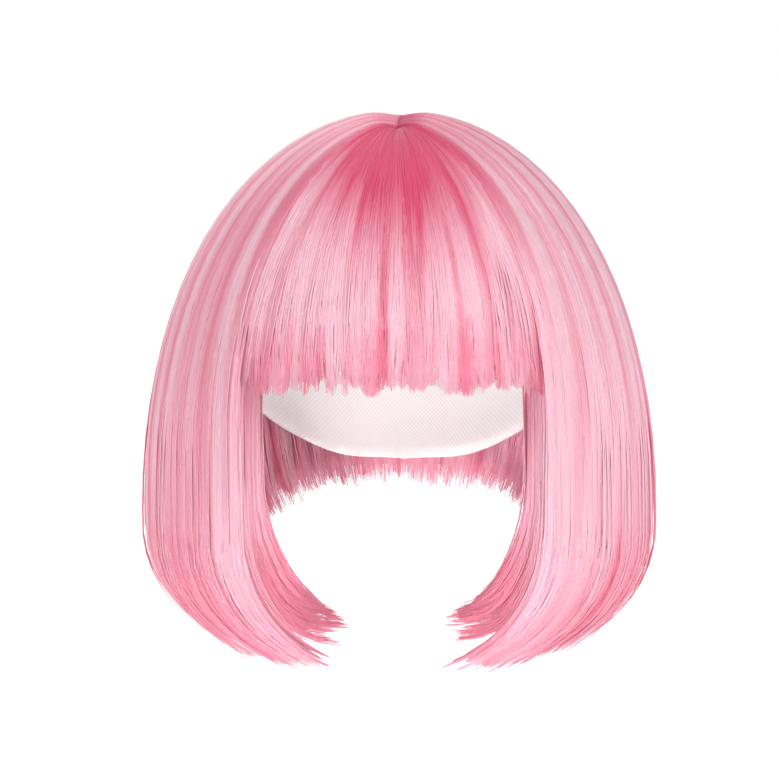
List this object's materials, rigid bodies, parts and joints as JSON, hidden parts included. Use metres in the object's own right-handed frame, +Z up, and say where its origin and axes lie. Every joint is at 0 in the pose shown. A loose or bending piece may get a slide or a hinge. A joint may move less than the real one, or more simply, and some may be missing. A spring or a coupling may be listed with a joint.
{
  "type": "synthetic bob wig",
  "caption": "Short bob wig of straight synthetic hair on a net cap, with a centre parting, a full straight fringe and side hair that turns under towards the chin.",
  "frame": {"origin": "inside top of the cap, where the crown of the head touches it", "axes": "+Z up, the wearer faces -Y, +X is the wearer's left"},
  "size_m": [0.225, 0.2292, 0.2309],
  "materials": {
    "hair": "satin synthetic fibre, light pink with deeper pink roots",
    "under_hair": "satin synthetic fibre, deeper pink",
    "cap_net": "matt fine net, off-white"
  },
  "bodies": {
    "root": {"cap": "cap_net", "fringe": "hair", "side_hair_left": "hair", "side_hair_right": "hair", "under_hair_left": "under_hair", "under_hair_right": "under_hair", "back_hair": "hair"}
  },
  "joints": []
}
